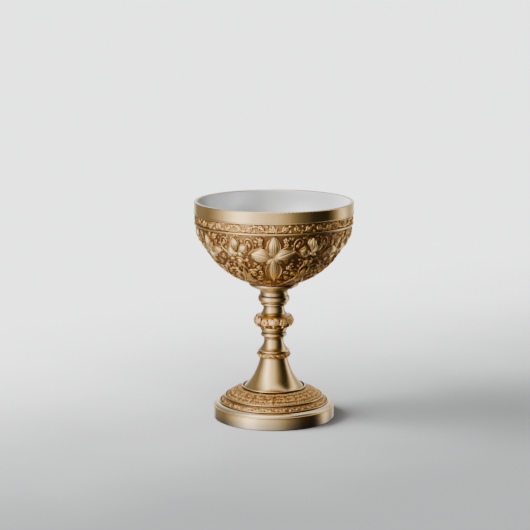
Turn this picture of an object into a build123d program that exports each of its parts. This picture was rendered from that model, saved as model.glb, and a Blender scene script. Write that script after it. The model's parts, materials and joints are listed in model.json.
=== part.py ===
"""A communion chalice in gilt brass and silver, as the turned, spun and cast pieces that it is built from.

A silver cup liner sits in a hemispherical calyx with applied blossoms. The cup's boss takes a tie rod, and
the nut under the foot's web draws the collar, knops, neck, spool and flared stem together on that rod. The
foot is a spun dome, a shoulder and an upright rim. Sizes are in millimetres. The origin is the centre of the
face that the foot stands on, +Z is up, and the blossom that faces the user is on -Y.
"""

from build123d import *
from math import cos, radians, sin, sqrt
import os

# Driving dimensions
chalice_height = 183.0
lip_radius = 66.0
foot_radius = 50.3
bowl_centre_z = 176.0
cup_inner_radius = 62.6
cup_wall = 0.9
calyx_gap = 0.2
calyx_wall = 0.9
tie_rod_radius = 3.0
thread_clearance = 0.03
solder_gap = 0.02
fit_gap = 0.1
casting_count = 6

# Bowl surfaces: spheres about one centre
cup_outer_radius = cup_inner_radius + cup_wall
calyx_inner_radius = cup_outer_radius + calyx_gap
calyx_outer_radius = calyx_inner_radius + calyx_wall
blossom_thickness = 1.6
large_blossom_below = 29.0
middle_blossom_below = 25.5
small_blossom_below = 25.0
band_inner_radius = cup_outer_radius + 0.05

# Heights of the bowl's bands, from the bead below the frieze up to the lip
bead_bottom_z = 163.8
frieze_bottom_z = 165.6
lip_wire_bottom_z = 172.6
lip_band_bottom_z = 173.8
frieze_outer_radius = 64.9
bead_back_radius = 63.95

# Heights of the joints between the stem's pieces, from the top down
collar_bottom_z = 105.5
knop_bottom_z = 95.0
neck_bottom_z = 87.2
leaf_knop_bottom_z = 76.8
knop_cup_bottom_z = 72.4
stem_ring_bottom_z = 68.6
spool_bottom_z = 57.6
lower_collar_bottom_z = 55.9
garland_bottom_z = 51.8
trumpet_bottom_z = 25.8

# Spigots and recesses that centre one stem piece on the next
rod_bore_radius = tie_rod_radius + 0.4
spigot_radius = 5.8
spigot_height = 1.5
recess_radius = spigot_radius + fit_gap
recess_depth = spigot_height + 0.2
boss_radius = 6.5
boss_bottom_z = collar_bottom_z - 1.6
boss_bore_top_z = 111.0

# The clamp under the web across the top of the flared stem
web_bottom_z = garland_bottom_z - 2.5
clamp_washer_bottom_z = web_bottom_z - 1.5
lock_washer_bottom_z = clamp_washer_bottom_z - 0.8
nut_thickness = 5.0
rod_overhang = 2.0

# Foot
foot_sheet = 1.2
rim_height = 9.6
dome_outer_radius = 44.6
dome_edge_z = 13.6


def turned(*edges):
    """A solid of revolution about Z from one closed outline, given as edges in (radius, height)."""
    return revolve(Plane.XZ * make_face(edges), Axis.Z)


def outline(*points):
    """A closed outline of straight lines, in (radius, height)."""
    return Polyline(*points, close=True).edges()


def tube(outer, inner, bottom, top):
    """A plain ring or tube about Z."""
    return turned(*outline((inner, bottom), (outer, bottom), (outer, top), (inner, top)))


def half_round(back, front, bottom, top):
    """A ring of half-round wire: a flat back, and a round face towards the outside."""
    radius = (top - bottom) / 2
    middle = (top + bottom) / 2
    return turned(
        Line((back, top), (back, bottom)),
        Line((back, bottom), (front - radius, bottom)),
        ThreePointArc((front - radius, bottom), (front, middle), (front - radius, top)),
        Line((front - radius, top), (back, top)),
    )


def round_wire(ring_radius, height, wire_radius):
    """A ring of round wire."""
    return Pos(0, 0, height) * Torus(ring_radius, wire_radius)


def stem_piece(bottom, top, *side, spigot=spigot_height):
    """A turned stem piece whose outer side runs up from bottom to top, bored for the tie rod, with a spigot
    on its top and a recess in its underside."""
    start = side[0] @ 0
    end = side[-1] @ 1
    body = turned(
        Line((0, bottom), (start.X, start.Y)),
        *side,
        Line((end.X, end.Y), (0, top)),
        Line((0, top), (0, bottom)),
    )
    if spigot:
        body += tube(spigot_radius, 0, top, top + spigot)
    body -= tube(recess_radius, 0, bottom, bottom + recess_depth)
    return body - tube(rod_bore_radius, 0, bottom - 1, top + spigot + 1)


# The cup

def cup_liner():
    """The silver cup that holds the wine: a hemisphere below an upright wall, with a rounded edge."""
    top = chalice_height - 0.3
    round_z = top - cup_wall / 2
    inner, outer = cup_inner_radius, cup_outer_radius

    def on_sphere(radius, below):
        angle = radians(below)
        return (radius * cos(angle), bowl_centre_z - radius * sin(angle))

    return turned(
        Line(on_sphere(inner, 90), on_sphere(outer, 90)),
        ThreePointArc(on_sphere(outer, 90), on_sphere(outer, 45), on_sphere(outer, 0)),
        Line(on_sphere(outer, 0), (outer, round_z)),
        ThreePointArc((outer, round_z), ((inner + outer) / 2, top), (inner, round_z)),
        Line((inner, round_z), on_sphere(inner, 0)),
        ThreePointArc(on_sphere(inner, 0), on_sphere(inner, 45), on_sphere(inner, 90)),
    )


def cup_boss():
    """The threaded boss brazed under the cup, which centres the collar and takes the tie rod."""
    body = tube(boss_radius, 0, boss_bottom_z, bowl_centre_z - cup_outer_radius + 2)
    body -= Pos(0, 0, bowl_centre_z) * Sphere(cup_outer_radius + solder_gap)
    return body - tube(tie_rod_radius + thread_clearance, 0, boss_bottom_z - 1, boss_bore_top_z)


def calyx_shell():
    """The outer bowl, open at the top and bored at the bottom for the boss."""
    hole = boss_radius + fit_gap

    def on_sphere(radius, out):
        return (out, bowl_centre_z - sqrt(radius**2 - out**2))

    def at_height(radius, height):
        return (sqrt(radius**2 - (bowl_centre_z - height) ** 2), height)

    inner, outer = calyx_inner_radius, calyx_outer_radius
    middle = radians(45)
    mid_inner = (inner * sin(middle), bowl_centre_z - inner * cos(middle))
    mid_outer = (outer * sin(middle), bowl_centre_z - outer * cos(middle))
    top_z = frieze_bottom_z
    return turned(
        ThreePointArc(on_sphere(outer, hole), mid_outer, at_height(outer, top_z)),
        Line(at_height(outer, top_z), at_height(inner, top_z)),
        ThreePointArc(at_height(inner, top_z), mid_inner, on_sphere(inner, hole)),
        Line(on_sphere(inner, hole), on_sphere(outer, hole)),
    )


def lip_band():
    """The polished band round the lip, with a rounded top edge."""
    edge = 0.9
    inner = band_inner_radius
    bottom, top = lip_band_bottom_z, chalice_height
    bend = edge * (1 - sqrt(0.5))
    return turned(
        Line((inner, bottom), (lip_radius, bottom)),
        Line((lip_radius, bottom), (lip_radius, top - edge)),
        ThreePointArc((lip_radius, top - edge), (lip_radius - bend, top - bend), (lip_radius - edge, top)),
        Line((lip_radius - edge, top), (inner + edge, top)),
        ThreePointArc((inner + edge, top), (inner + bend, top - bend), (inner, top - edge)),
        Line((inner, top - edge), (inner, bottom)),
    )


# Applied castings on the calyx

def petal(length, width, turn, fullness=0.45):
    """A pointed petal outline that leaves the origin at an angle of turn degrees, widest at fullness."""
    half = width / 2
    side = Spline((0, 0), (length * fullness, half), (length, 0), tangents=[(0.6, 1), (1, -0.55)])
    other = mirror(side, Plane.XZ)
    return Rot(0, 0, turn) * make_face([side, *other.edges()])


def on_bowl(shape, around, below, thickness):
    """Wraps a flat outline onto the calyx at an angle around and an angle below its centre, in degrees."""
    prism = extrude(Pos(0, 0, calyx_outer_radius - 14) * shape, amount=20)
    layer = Sphere(calyx_outer_radius + thickness) - Sphere(calyx_outer_radius + solder_gap)
    facing = Rot(0, 0, around) * Rot(0, 90 + below, 0) * Rot(0, 0, 90)
    return Pos(0, 0, bowl_centre_z) * ((facing * prism) & layer)


def large_blossom(around):
    """A four-petalled lily with small sepals. It fills the calyx from the bead to near the collar."""
    petals = petal(20.2, 11.4, 90, 0.49) + petal(27.4, 13.4, -90, 0.47)
    for turn in (19, 161):
        petals += petal(18.8, 12.0, turn, 0.54)
    for turn in (-42, -138, 52, 128):
        petals += petal(9.0, 4.0, turn)
    petals += Circle(2.2)
    return on_bowl(petals, around, large_blossom_below, blossom_thickness)


def middle_blossom(around):
    """A four-petalled lily of half that height, with broad sepals, between two large ones."""
    petals = petal(12.6, 6.0, 90, 0.5) + petal(12.6, 6.4, -90, 0.48)
    for turn in (4, 176):
        petals += petal(15.6, 7.2, turn, 0.52)
    for turn in (-44, -136, 48, 132):
        petals += petal(8.4, 4.4, turn)
    petals += Circle(2.0)
    return on_bowl(petals, around, middle_blossom_below, blossom_thickness)


def small_blossom(around):
    """A three-petalled flower that opens upwards on a pair of sepals."""
    petals = petal(13.0, 9.0, 90, 0.52) + Circle(1.8)
    for turn in (24, 156):
        petals += petal(10.0, 8.2, turn, 0.57)
    for turn in (-38, -142):
        petals += petal(6.2, 3.2, turn)
    return on_bowl(petals, around, small_blossom_below, blossom_thickness * 0.8)


# The stem

def bowl_collar():
    """Three stepped rings under the bowl that run down into a hollow neck, with a seat for the calyx."""
    top = 115.0
    body = turned(
        Line((0, collar_bottom_z), (11.6, collar_bottom_z)),
        ThreePointArc((11.6, collar_bottom_z), (12.0, 107.6), (13.2, 109.2)),
        ThreePointArc((13.2, 109.2), (14.5, 109.9), (13.9, 111.0)),
        ThreePointArc((13.9, 111.0), (17.3, 111.6), (16.6, 112.9)),
        ThreePointArc((16.6, 112.9), (20.9, 113.7), (20.4, top)),
        Line((20.4, top), (0, top)),
        Line((0, top), (0, collar_bottom_z)),
    )
    body -= Pos(0, 0, bowl_centre_z) * Sphere(calyx_outer_radius + solder_gap)
    return body - tube(boss_radius + fit_gap, 0, collar_bottom_z - 1, top + 1)


def upper_knop():
    """The smooth round knop under the collar, with a bead below it."""
    body = stem_piece(
        knop_bottom_z,
        collar_bottom_z,
        ThreePointArc((9.4, knop_bottom_z), (11.0, 96.2), (10.8, 97.4)),
        ThreePointArc((10.8, 97.4), (13.3, 100.9), (11.7, 104.2)),
        Line((11.7, 104.2), (11.7, collar_bottom_z)),
        spigot=0,
    )
    return body - tube(boss_radius + fit_gap, 0, boss_bottom_z - fit_gap, collar_bottom_z + 1)


def upper_neck():
    """The short waisted tube between the two knops."""
    return stem_piece(
        neck_bottom_z,
        knop_bottom_z,
        ThreePointArc((12.8, neck_bottom_z), (9.8, 89.8), (9.1, knop_bottom_z)),
    )


def knop_side(gap=0.0):
    """The round side of the main knop's core, moved outwards by gap."""
    return ThreePointArc(
        (11.5 + gap, leaf_knop_bottom_z),
        (15.2 + gap, 81.0),
        (12.8 + gap, neck_bottom_z),
    )


def leaf_knop_core():
    """The core of the main knop, which carries the cast leaves and flowers."""
    return stem_piece(leaf_knop_bottom_z, neck_bottom_z, knop_side())


def on_knop(shape, around):
    """A casting on the main knop, cut from an upright outline at an angle around, in degrees."""
    inner = knop_side(solder_gap)
    body = turned(
        Line((0, 79.0), (14.7, 79.0)),
        ThreePointArc((14.7, 79.0), (17.1, 80.8), (13.6, 86.8)),
        Line((13.6, 86.8), (0, 86.8)),
        Line((0, 86.8), (0, 79.0)),
    )
    core = turned(
        Line((0, leaf_knop_bottom_z), inner @ 0),
        inner,
        Line(inner @ 1, (0, neck_bottom_z)),
        Line((0, neck_bottom_z), (0, leaf_knop_bottom_z)),
    )
    blade = extrude(Plane.XZ * shape, amount=25)
    return Rot(0, 0, around + 90) * ((blade & body) - core)


def knop_leaf(around):
    """One cast acanthus leaf that hangs over the main knop."""
    half = 4.5
    tip, top = (0, 79.2), 86.4
    left = [(-half * 0.5, top), (-half * 0.9, 83.6), (-half, 81.6), tip]
    shape = make_face(
        [
            Spline(tip, (half, 81.6), (half * 0.9, 83.6), (half * 0.5, top)),
            Line((half * 0.5, top), (-half * 0.5, top)),
            Spline(*left),
        ]
    )
    return on_knop(shape, around)


def knop_flower(around):
    """One small cast flower between two leaves."""
    petals = Pos(0, 82.2) * Circle(1.4)
    for n in range(5):
        petals += Pos(0, 82.2) * (Rot(0, 0, 90 + 72 * n) * (Pos(1.9, 0) * Circle(1.25)))
    return on_knop(petals, around)


def knop_cup():
    """The small bell that holds the main knop from below."""
    return stem_piece(
        knop_cup_bottom_z,
        leaf_knop_bottom_z,
        ThreePointArc((9.9, knop_cup_bottom_z), (10.9, 74.4), (11.3, leaf_knop_bottom_z)),
    )


def stem_ring():
    """The rounded ring between the bell and the spool."""
    middle = (knop_cup_bottom_z + stem_ring_bottom_z) / 2
    return stem_piece(
        stem_ring_bottom_z,
        knop_cup_bottom_z,
        ThreePointArc((9.5, stem_ring_bottom_z), (10.9, middle + 0.3), (9.8, knop_cup_bottom_z)),
    )


def stem_spool():
    """The waisted spool below the ring."""
    return stem_piece(
        spool_bottom_z,
        stem_ring_bottom_z,
        Spline((12.5, spool_bottom_z), (9.8, 60.8), (8.4, 64.0), (9.2, stem_ring_bottom_z)),
    )


def lower_collar():
    """A thin stepped ring that slides over the spigot of the garland ring."""
    return half_round(recess_radius, 13.3, lower_collar_bottom_z, spool_bottom_z)


def garland_ring():
    """The ornamented ring on top of the flared stem."""
    return stem_piece(
        garland_bottom_z,
        lower_collar_bottom_z,
        ThreePointArc((11.6, garland_bottom_z), (13.7, 54.1), (12.6, lower_collar_bottom_z)),
        spigot=spool_bottom_z - lower_collar_bottom_z + spigot_height,
    )


def trumpet_stem():
    """The flared stem: a spun trumpet with a web across its top that the nut pulls on."""
    flare = [(11.4, garland_bottom_z), (13.4, 44.0), (16.9, 36.0), (21.6, 29.5), (25.4, trumpet_bottom_z)]
    hollow = [(10.6, web_bottom_z), (12.3, 43.6), (15.8, 35.6), (20.4, 29.0), (23.8, trumpet_bottom_z)]
    body = turned(
        Line((0, garland_bottom_z), flare[0]),
        Spline(flare, tangents=[(0.1, -1), (1, -0.78)]),
        Line(flare[-1], hollow[-1]),
        Spline(hollow[::-1], tangents=[(-1, 0.78), (-0.1, 1)]),
        Line(hollow[0], (0, web_bottom_z)),
        Line((0, web_bottom_z), (0, garland_bottom_z)),
    )
    body += tube(spigot_radius, 0, garland_bottom_z, garland_bottom_z + spigot_height)
    return body - tube(rod_bore_radius, 0, web_bottom_z - 1, garland_bottom_z + spigot_height + 1)


# The foot

def foot_dome():
    """The spun dome of the foot, with a flat seat for the flared stem."""
    seat_inner, seat_outer = 23.4, 25.6
    seat_bottom_z = trumpet_bottom_z - foot_sheet
    inner_bend = (seat_outer - 0.5, seat_bottom_z)
    return turned(
        Line((seat_inner, trumpet_bottom_z), (seat_inner, seat_bottom_z)),
        Line((seat_inner, seat_bottom_z), inner_bend),
        ThreePointArc(inner_bend, (36.0, 19.5), (43.7, dome_edge_z - 0.9)),
        Line((43.7, dome_edge_z - 0.9), (dome_outer_radius, dome_edge_z)),
        ThreePointArc((dome_outer_radius, dome_edge_z), (36.7, 20.6), (seat_outer, trumpet_bottom_z)),
        Line((seat_outer, trumpet_bottom_z), (seat_inner, trumpet_bottom_z)),
    )


def foot_shoulder():
    """The polished convex step between the dome and the rim."""
    inner, outer = dome_outer_radius + 0.15, foot_radius - 0.9
    return turned(
        Line((inner, 12.1), (inner, 13.3)),
        ThreePointArc((inner, 13.3), (47.7, 12.7), (outer, rim_height + 1.2)),
        Line((outer, rim_height + 1.2), (outer, rim_height)),
        Line((outer, rim_height), (outer - foot_sheet, rim_height)),
        ThreePointArc((outer - foot_sheet, rim_height), (47.0, 11.6), (inner, 12.1)),
    )


def foot_rim_band():
    """The upright wall of the foot, with its lower edge eased."""
    ease = 0.4
    return turned(
        Line((foot_radius - foot_sheet, 0), (foot_radius - ease, 0)),
        Line((foot_radius - ease, 0), (foot_radius, ease)),
        Line((foot_radius, ease), (foot_radius, rim_height)),
        Line((foot_radius, rim_height), (foot_radius - foot_sheet, rim_height)),
        Line((foot_radius - foot_sheet, rim_height), (foot_radius - foot_sheet, 0)),
    )


# The clamp

def tie_rod():
    """The M6 rod, screwed into the cup's boss, with chamfered ends."""
    bottom = lock_washer_bottom_z - nut_thickness - rod_overhang
    top, chamfer_size = boss_bore_top_z - 0.5, 0.6
    r = tie_rod_radius
    return turned(
        *outline(
            (0, bottom),
            (r - chamfer_size, bottom),
            (r, bottom + chamfer_size),
            (r, top - chamfer_size),
            (r - chamfer_size, top),
            (0, top),
        )
    )


def tie_rod_nut():
    """The M6 hexagon nut under the web of the flared stem."""
    across_flats = 10.0
    bore = Circle(tie_rod_radius + thread_clearance)
    hexagon = RegularPolygon(across_flats / 2, 6, major_radius=False) - bore
    return Pos(0, 0, lock_washer_bottom_z - nut_thickness) * extrude(hexagon, amount=nut_thickness)


def angles_around(first):
    """One angle for each casting of a ring of six, in degrees, from the first."""
    return [first + 360.0 * n / casting_count for n in range(casting_count)]


def build():
    """Every node of the chalice, by name."""
    nodes = {
        "cup_liner": cup_liner(),
        "cup_boss": cup_boss(),
        "lip_band": lip_band(),
        "lip_wire": half_round(band_inner_radius, 66.35, lip_wire_bottom_z, lip_band_bottom_z),
        "frieze_band": tube(frieze_outer_radius, band_inner_radius, frieze_bottom_z, lip_wire_bottom_z),
        "bowl_bead": half_round(bead_back_radius, 66.1, bead_bottom_z, frieze_bottom_z),
        "calyx_shell": calyx_shell(),
        "bowl_collar": bowl_collar(),
        "upper_knop": upper_knop(),
        "upper_neck": upper_neck(),
        "leaf_knop_core": leaf_knop_core(),
        "knop_cup": knop_cup(),
        "stem_ring": stem_ring(),
        "stem_spool": stem_spool(),
        "lower_collar": lower_collar(),
        "garland_ring": garland_ring(),
        "trumpet_stem": trumpet_stem(),
        "foot_dome": foot_dome(),
        "foot_wire_inner": round_wire(26.3, 26.4, 0.65),
        "foot_wire_middle": round_wire(40.7, 18.5, 0.5),
        "foot_wire_outer": round_wire(45.15, 14.1, 0.5),
        "foot_shoulder": foot_shoulder(),
        "foot_rim_bead": half_round(foot_radius - 0.8, foot_radius + 0.3, rim_height, rim_height + 1.3),
        "foot_rim_band": foot_rim_band(),
        "foot_base_ring": tube(foot_radius - foot_sheet - fit_gap, 43.0, 0, 1.2),
        "tie_rod": tie_rod(),
        "clamp_washer": tube(9.0, tie_rod_radius + 0.3, clamp_washer_bottom_z, web_bottom_z),
        "lock_washer": tube(6.0, tie_rod_radius + 0.1, lock_washer_bottom_z, clamp_washer_bottom_z),
        "tie_rod_nut": tie_rod_nut(),
    }
    front, between = angles_around(-90.0), angles_around(-90.0 + 180.0 / casting_count)
    for number in range(casting_count // 2):
        nodes[f"large_blossom_{number + 1}"] = large_blossom(front[2 * number])
        nodes[f"middle_blossom_{number + 1}"] = middle_blossom(front[2 * number + 1])
    for number in range(casting_count):
        nodes[f"small_blossom_{number + 1}"] = small_blossom(between[number])
        nodes[f"knop_leaf_{number + 1}"] = knop_leaf(front[number])
        nodes[f"knop_flower_{number + 1}"] = knop_flower(between[number])
    return nodes


os.makedirs("parts", exist_ok=True)
for name, shape in build().items():
    export_step(shape, f"parts/{name}.step")
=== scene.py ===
import json
import math

import bpy
import numpy as np
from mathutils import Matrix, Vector

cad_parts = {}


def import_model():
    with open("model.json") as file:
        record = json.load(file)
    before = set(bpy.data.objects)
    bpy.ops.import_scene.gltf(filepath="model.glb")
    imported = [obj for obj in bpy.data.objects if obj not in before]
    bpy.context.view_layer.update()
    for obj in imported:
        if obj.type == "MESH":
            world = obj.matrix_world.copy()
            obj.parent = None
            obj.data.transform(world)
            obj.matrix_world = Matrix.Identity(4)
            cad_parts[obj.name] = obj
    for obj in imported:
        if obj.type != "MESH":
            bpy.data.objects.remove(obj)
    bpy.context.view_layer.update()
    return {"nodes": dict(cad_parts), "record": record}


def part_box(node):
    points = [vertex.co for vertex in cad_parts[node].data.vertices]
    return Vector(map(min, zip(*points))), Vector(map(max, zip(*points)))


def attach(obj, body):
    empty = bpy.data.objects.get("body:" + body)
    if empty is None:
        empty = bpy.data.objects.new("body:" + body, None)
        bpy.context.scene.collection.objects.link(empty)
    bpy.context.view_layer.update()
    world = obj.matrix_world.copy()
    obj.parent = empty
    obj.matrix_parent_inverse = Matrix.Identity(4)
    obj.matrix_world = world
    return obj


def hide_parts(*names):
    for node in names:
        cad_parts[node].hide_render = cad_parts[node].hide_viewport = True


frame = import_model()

MM = 0.001
TURN = 2 * math.pi
# The angle of the viewer's side
FRONT = -math.pi / 2
# Brightness of the studio at each angle to the right of the viewer, in degrees
PANELS = [
    (-180, 1.25), (-160, 0.90), (-148, 0.30), (-130, 0.30), (-108, 0.25), (-92, 0.46), (-80, 0.80),
    (-66, 1.35), (-54, 2.45), (-41, 2.25), (-28, 1.45), (-10, 1.05), (4, 0.84), (18, 0.52), (30, 0.27),
    (45, 0.14), (58, 0.05), (84, 0.03), (94, 0.14), (104, 0.45), (112, 1.15), (121, 1.30), (129, 0.66),
    (140, 0.45), (160, 0.75), (180, 1.25),
]
CEILING = (1.75, 1.71, 1.62)
# Light that comes up from the table, from the left side to the right
UNDER_LEFT, UNDER_RIGHT = (0.62, 0.60, 0.56), (0.06, 0.055, 0.05)
scene = bpy.context.scene
ROW_STEP = 0.34
BOWL_COLUMNS = 1080


# Light and camera

def camera():
    """A long lens at the height of a standing table, a little above the lip."""
    data = bpy.data.cameras.new("camera")
    data.lens = 126.7
    data.clip_end = 100.0
    holder = bpy.data.objects.new("camera", data)
    holder.location = (0.0, -1.523, 0.408)
    holder.rotation_euler = (math.radians(90.0 - 10.39), 0.0, math.radians(0.276))
    scene.collection.objects.link(holder)
    scene.camera = holder


def node(tree, kind, inputs=None, **settings):
    """A new shader node. An input is a value, or the socket that feeds it."""
    made = tree.nodes.new("ShaderNode" + kind)
    for name, value in settings.items():
        setattr(made, name, value)
    for name, value in (inputs or {}).items():
        if isinstance(value, bpy.types.NodeSocket):
            tree.links.new(value, made.inputs[name])
        else:
            made.inputs[name].default_value = value
    return made


def sum_of(tree, kind, *values):
    """The output of a Math node on the given values or sockets."""
    made = node(tree, "Math", dict(enumerate(values)), operation=kind)
    return made.outputs[0]


def times(tree, a, b, plus=None):
    """a times b, plus a third value if there is one."""
    return sum_of(tree, "MULTIPLY", a, b) if plus is None else sum_of(tree, "MULTIPLY_ADD", a, b, plus)


def blend(tree, factor, first, second):
    """A mix of two colours."""
    made = node(tree, "Mix", {"Factor": factor}, data_type="RGBA")
    for name, value in (("A", first), ("B", second)):
        socket = [s for s in made.inputs if s.name == name and s.type == "RGBA"][0]
        if isinstance(value, bpy.types.NodeSocket):
            tree.links.new(value, socket)
        else:
            socket.default_value = (*value, 1.0)
    return [s for s in made.outputs if s.type == "RGBA"][0]


def spread(tree, value, low, high, start=0.0, end=1.0):
    """A value remapped from low and high to start and end, smoothly and clamped."""
    ends = {"Value": value, "From Min": low, "From Max": high, "To Min": start, "To Max": end}
    return node(tree, "MapRange", ends, interpolation_type="SMOOTHSTEP").outputs[0]


def noise(tree, place, scale, detail, distortion=0.0):
    inputs = {"Vector": place, "Scale": scale, "Detail": detail, "Distortion": distortion}
    return node(tree, "TexNoise", inputs).outputs["Fac"]


def new_material(name):
    mat = bpy.data.materials.new(name)
    mat.use_nodes = True
    mat.node_tree.nodes.clear()
    return mat, mat.node_tree


def world():
    """A studio of soft panels: bright at the front left, dark at the right, then a strip light."""
    sky = bpy.data.worlds.new("studio")
    scene.world = sky
    sky.use_nodes = True
    tree = sky.node_tree
    tree.nodes.clear()
    place = node(tree, "TexCoord").outputs["Generated"]
    split = node(tree, "SeparateXYZ", {0: place}).outputs
    # The angle round the chalice, from 0 to 1: a half is the side of the viewer, and it grows to the right
    around = sum_of(tree, "ARCTAN2", split["X"], times(tree, split["Y"], -1.0))
    share = times(tree, around, 0.5 / math.pi, 0.5)
    panels = node(tree, "ValToRGB", {0: share})
    ramp = panels.color_ramp
    ramp.interpolation = "EASE"
    while len(ramp.elements) > 1:
        ramp.elements.remove(ramp.elements[-1])
    for n, (angle, value) in enumerate(PANELS):
        spot = (angle + 180.0) / 360.0
        stop = ramp.elements[0] if n == 0 else ramp.elements.new(spot)
        stop.position = spot
        # The dimmer panels are a little warm and the brightest ones a little cool
        warm = 1.0 - min(value, 2.0) / 2.0
        stop.color = (value, value * (1.02 - 0.06 * warm), value * (1.04 - 0.18 * warm), 1.0)
    with_ceiling = blend(tree, spread(tree, split["Z"], 0.84, 0.99), panels.outputs[0], CEILING)
    below = blend(tree, spread(tree, split["X"], -0.55, 0.50), UNDER_LEFT, UNDER_RIGHT)
    studio = blend(tree, spread(tree, split["Z"], -0.38, -0.80), with_ceiling, below)
    seen_in_metal = node(tree, "Background", {"Color": studio})
    seen_direct = node(tree, "Background", {"Color": (0.80, 0.81, 0.83, 1.0), "Strength": 1.9})
    path = node(tree, "LightPath").outputs
    # Matt surfaces get less of it, so that the shadow of the soft suns stays deep
    on_matt = node(tree, "Background", {"Color": studio, "Strength": 0.30})
    shown = seen_in_metal.outputs[0]
    for ray, other in (("Is Diffuse Ray", on_matt), ("Is Camera Ray", seen_direct)):
        shown = node(tree, "MixShader", {0: path[ray], 1: shown, 2: other.outputs[0]}).outputs[0]
    node(tree, "OutputWorld", {"Surface": shown})


def soft_sun(name, direction, degrees, strength):
    """A soft light that the metal does not mirror. It lights the floor and shapes the shadow."""
    data = bpy.data.lights.new(name, "SUN")
    data.angle = math.radians(degrees)
    data.energy = strength
    holder = bpy.data.objects.new(name, data)
    holder.rotation_euler = Vector(direction).to_track_quat("-Z", "Y").to_euler()
    holder.visible_glossy = False
    scene.collection.objects.link(holder)


def floor():
    """A wide pale floor, a little darker in front and to the right: painted shade."""
    half = 14.0
    mesh = bpy.data.meshes.new("floor")
    corners = [(x * half, y * half, 0) for x, y in ((-1, -1), (1, -1), (1, 1), (-1, 1))]
    mesh.from_pydata(corners, [], [(0, 1, 2, 3)])
    ground = bpy.data.objects.new("floor", mesh)
    scene.collection.objects.link(ground)
    mat, tree = new_material("floor")
    place = node(tree, "TexCoord").outputs["Object"]
    split = node(tree, "SeparateXYZ", {0: place}).outputs
    cloud = noise(tree, place, 2.2, 3.0)
    # Painted shade: the floor's colour darkens towards the front and the right
    depth = times(tree, cloud, 0.5, split["Y"])
    depth = times(tree, split["X"], -0.7, depth)
    colour = blend(tree, spread(tree, depth, 0.00, 0.86), (0.18, 0.184, 0.188), (0.72, 0.73, 0.75))
    shader = node(tree, "BsdfPrincipled", {"Base Color": colour, "Roughness": 0.75})
    node(tree, "OutputMaterial", {"Surface": shader.outputs[0]})
    mesh.materials.append(mat)
    ground.visible_glossy = False


camera()
world()
soft_sun("key", (0.88, 0.10, -0.50), 44.0, 12.5)
soft_sun("fill", (0.25, 0.40, -0.92), 60.0, 1.6)
floor()


# Relief: turned surfaces whose points are raised along their normals

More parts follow.
